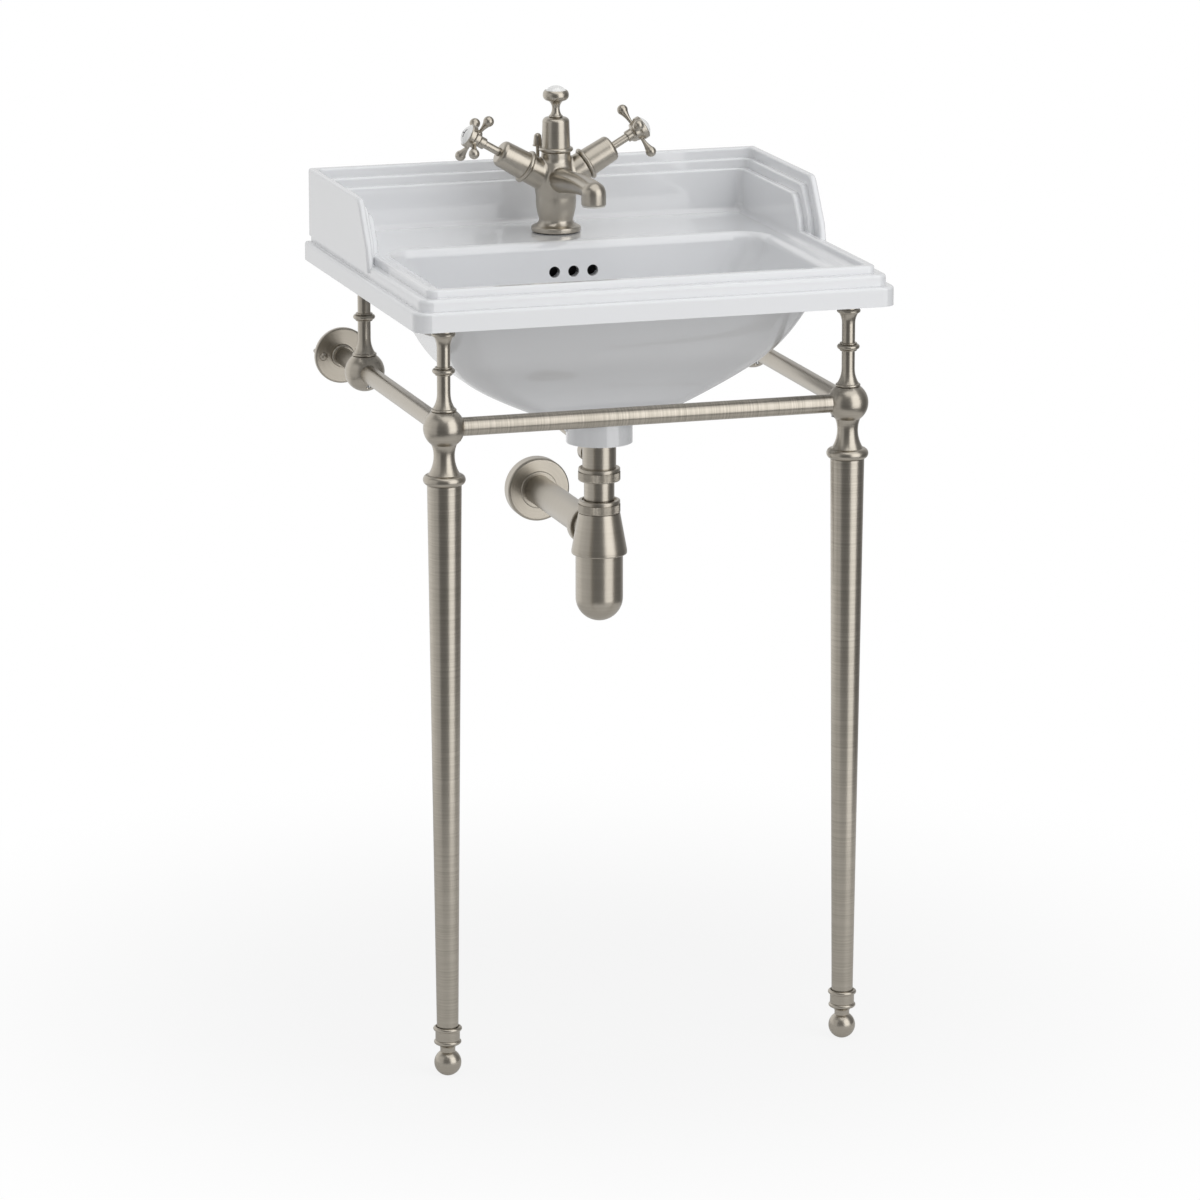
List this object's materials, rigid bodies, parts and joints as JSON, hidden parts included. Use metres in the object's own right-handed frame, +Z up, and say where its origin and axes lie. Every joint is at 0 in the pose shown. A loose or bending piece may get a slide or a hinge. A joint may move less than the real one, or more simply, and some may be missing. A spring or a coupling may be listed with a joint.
{
  "type": "console sink",
  "caption": "White china basin with raised back on turned nickel legs and rails, wall-held at the rear, with a two-handle mixer tap, lift-rod pop-up waste and bottle trap.",
  "frame": {"origin": "on the floor, under the middle of the whole part, with the screws and the drain pipe behind the wall face included", "axes": "+X to the right seen from the front, +Y to the wall, +Z up"},
  "size_m": [0.51, 0.475, 0.9746],
  "materials": {
    "china": "white gloss glaze",
    "porcelain": "white gloss glaze",
    "nickel_brass": "brushed nickel plate",
    "nickel_tube": "brushed nickel plate",
    "steel": "plain",
    "nylon": "moulded",
    "rubber": "matt"
  },
  "bodies": {
    "sink": {"basin": "china", "centre_bonnet": "nickel_brass", "centre_button": "porcelain", "centre_finial": "nickel_brass", "cold_bonnet": "nickel_brass", "front_rail": "nickel_tube", "hot_bonnet": "nickel_brass", "left_front_knuckle": "nickel_brass", "left_leg_tube": "nickel_tube", "left_side_rail": "nickel_tube", "leg_feet": "nickel_brass", "pivot_nut": "nickel_brass", "pivot_seat": "nylon", "post_pads": "rubber", "post_studs": "steel", "rail_grub_screws": "steel", "rear_knuckles": "nickel_brass", "right_front_knuckle": "nickel_brass", "right_leg_tube": "nickel_tube", "right_side_rail": "nickel_tube", "spout_aerator": "nylon", "tap_base_gasket": "rubber", "tap_body": "nickel_brass", "tap_clamp_nut": "steel", "tap_clamp_plate": "steel", "tap_clamp_stud": "steel", "tap_clamp_washer": "rubber", "trap_body": "nickel_brass", "trap_cup": "nickel_brass", "trap_inlet_nut": "nickel_brass", "trap_inlet_pipe": "nickel_brass", "trap_lower_nut": "nickel_brass", "trap_outlet_nut": "nickel_brass", "trap_outlet_pipe": "nickel_brass", "trap_seals": "rubber", "trap_wall_flange": "nickel_brass", "upper_posts": "nickel_brass", "valve_cartridges": "nickel_brass", "wall_flanges": "nickel_brass", "wall_screws": "nickel_brass", "wall_spigots": "nickel_tube", "waste_back_nut": "nylon", "waste_body": "nickel_brass", "waste_lower_seal": "rubber"},
    "hot_turn": {"hot_handle": "nickel_brass", "hot_spindle": "nickel_brass", "hot_button": "porcelain", "hot_handle_screw": "steel"},
    "cold_turn": {"cold_handle": "nickel_brass", "cold_spindle": "nickel_brass", "cold_button": "porcelain", "cold_handle_screw": "steel"},
    "lift": {"lift_rod": "nickel_brass", "lift_knob": "nickel_brass", "link_clamp": "nickel_brass", "link_screw": "steel"},
    "lever": {"pivot_lever": "nickel_brass"},
    "plug": {"popup_plug": "nickel_brass", "plug_seal": "rubber"}
  },
  "joints": [
    {"name": "hot_handle_turn", "type": "hinge", "parent": "sink", "child": "hot_turn", "pos_m": [0, 0.123, 0.8703], "axis": [-0.866, 0, 0.5], "range_deg": [0, 90]},
    {"name": "cold_handle_turn", "type": "hinge", "parent": "sink", "child": "cold_turn", "pos_m": [0, 0.123, 0.8703], "axis": [0.866, 0, 0.5], "range_deg": [-90, 0]},
    {"name": "lift_rod_slide", "type": "slide", "parent": "sink", "child": "lift", "axis": [0, 0, 1], "range_m": [0, 0.036]},
    {"name": "lever_pivot", "type": "hinge", "parent": "sink", "child": "lever", "pos_m": [0, -0.003, 0.604], "axis": [1, 0, 0], "range_deg": [0, 13.86]},
    {"name": "plug_slide", "type": "slide", "parent": "sink", "child": "plug", "axis": [0, 0, -1], "range_m": [0, 0.007]}
  ],
  "couplings": [
    {"joint": "lever_pivot", "follows": "lift_rod_slide", "rad_per_m": 6.718},
    {"joint": "plug_slide", "follows": "lift_rod_slide", "ratio": 0.1944}
  ]
}
